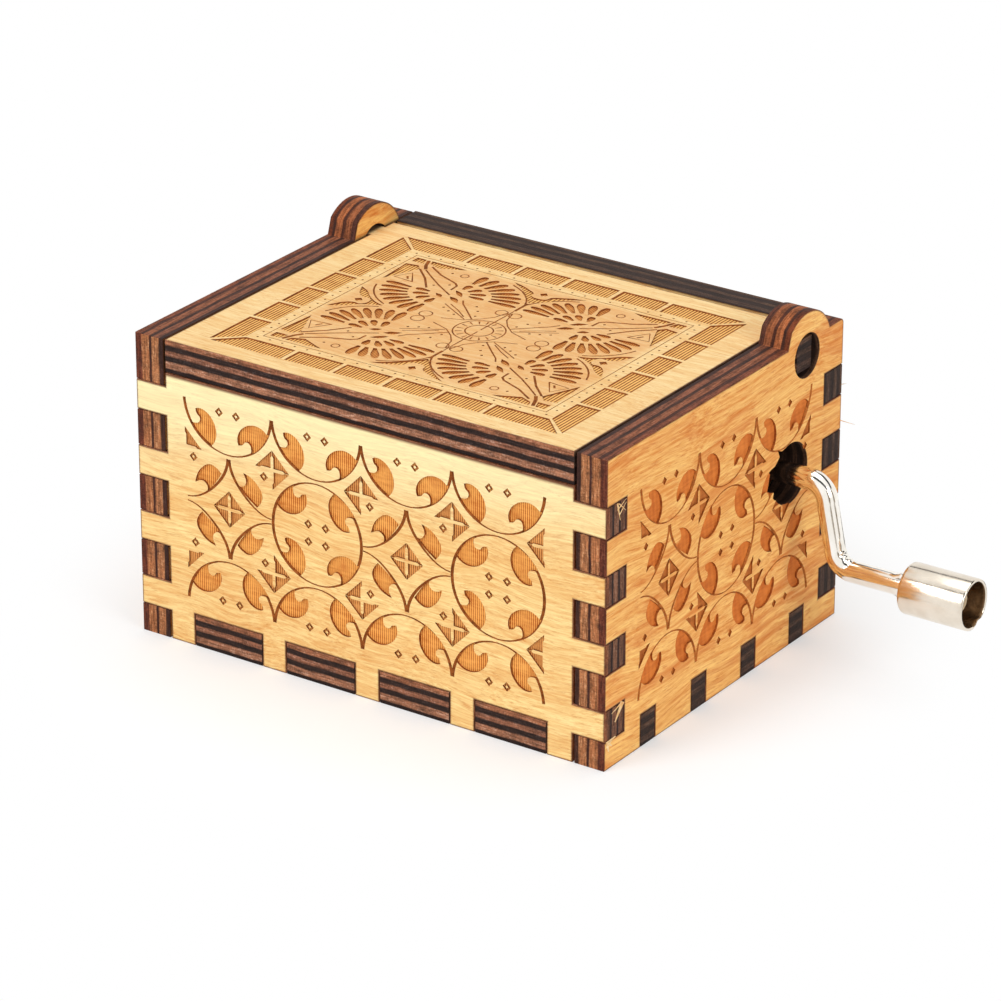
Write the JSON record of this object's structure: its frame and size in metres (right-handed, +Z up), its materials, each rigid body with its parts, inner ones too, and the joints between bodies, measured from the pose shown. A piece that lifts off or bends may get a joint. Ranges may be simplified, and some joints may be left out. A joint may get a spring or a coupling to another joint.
{
  "type": "hand-cranked music box",
  "caption": "Hand-cranked pinned-drum music box in a finger-jointed plywood case with a hinged, engraved lid, a bent-wire crank and a spinning handle.",
  "frame": {"origin": "centre of the case's underside, on the surface it stands on", "axes": "+X to the crank side, +Y to the hinged back, +Z up"},
  "size_m": [0.09, 0.05, 0.0414],
  "materials": {
    "birch_plywood": "laser-cut birch plywood, burnt brown edges",
    "zinc_casting": "as-cast zinc, satin",
    "steel_sheet": "folded sheet, dull nickel",
    "comb_steel": "ground hardened steel",
    "lead": "dull grey lead",
    "brass": "turned, bright",
    "drum_brass": "drawn tube, bright",
    "pin_steel": "cut wire",
    "white_nylon": "moulded, natural white",
    "screw_steel": "zinc plated",
    "nickel_plate": "polished nickel plate"
  },
  "bodies": {
    "case": {"bottom_panel": "birch_plywood", "front_panel": "birch_plywood", "back_panel": "birch_plywood", "left_side_panel": "birch_plywood", "right_side_panel": "birch_plywood", "bedplate": "zinc_casting", "worm_bracket": "steel_sheet", "inner_crank_bush": "brass", "outer_crank_bush": "brass", "comb": "comb_steel", "comb_lead_weights": "lead", "comb_screws": "screw_steel", "bracket_screws": "screw_steel", "case_screws": "screw_steel", "drum_spring_washer": "comb_steel"},
    "lid": {"lid_panel": "birch_plywood"},
    "crank": {"crank_rod": "nickel_plate", "worm": "brass"},
    "drum": {"drum_tube": "drum_brass", "drum_pins": "pin_steel", "drum_end_cap": "brass", "drum_arbor": "pin_steel", "drum_gear": "white_nylon"},
    "handle": {"handle_sleeve": "nickel_plate"}
  },
  "joints": [
    {"name": "lid_hinge", "type": "hinge", "parent": "case", "child": "lid", "pos_m": [0, 0.0169, 0.036], "axis": [-1, 0, 0], "range_deg": [0, 125]},
    {"name": "crank_turn", "type": "hinge", "parent": "case", "child": "crank", "pos_m": [0.0285, 0.0138, 0.0223], "axis": [1, 0, 0], "continuous": true},
    {"name": "drum_turn", "type": "hinge", "parent": "case", "child": "drum", "pos_m": [0.01, 0, 0.0132], "axis": [0, 1, 0], "continuous": true},
    {"name": "handle_spin", "type": "hinge", "parent": "crank", "child": "handle", "pos_m": [0.05, 0.01345, 0.01231], "axis": [1, 0, 0], "continuous": true}
  ],
  "couplings": [
    {"joint": "drum_turn", "follows": "crank_turn", "ratio": -0.045455}
  ]
}
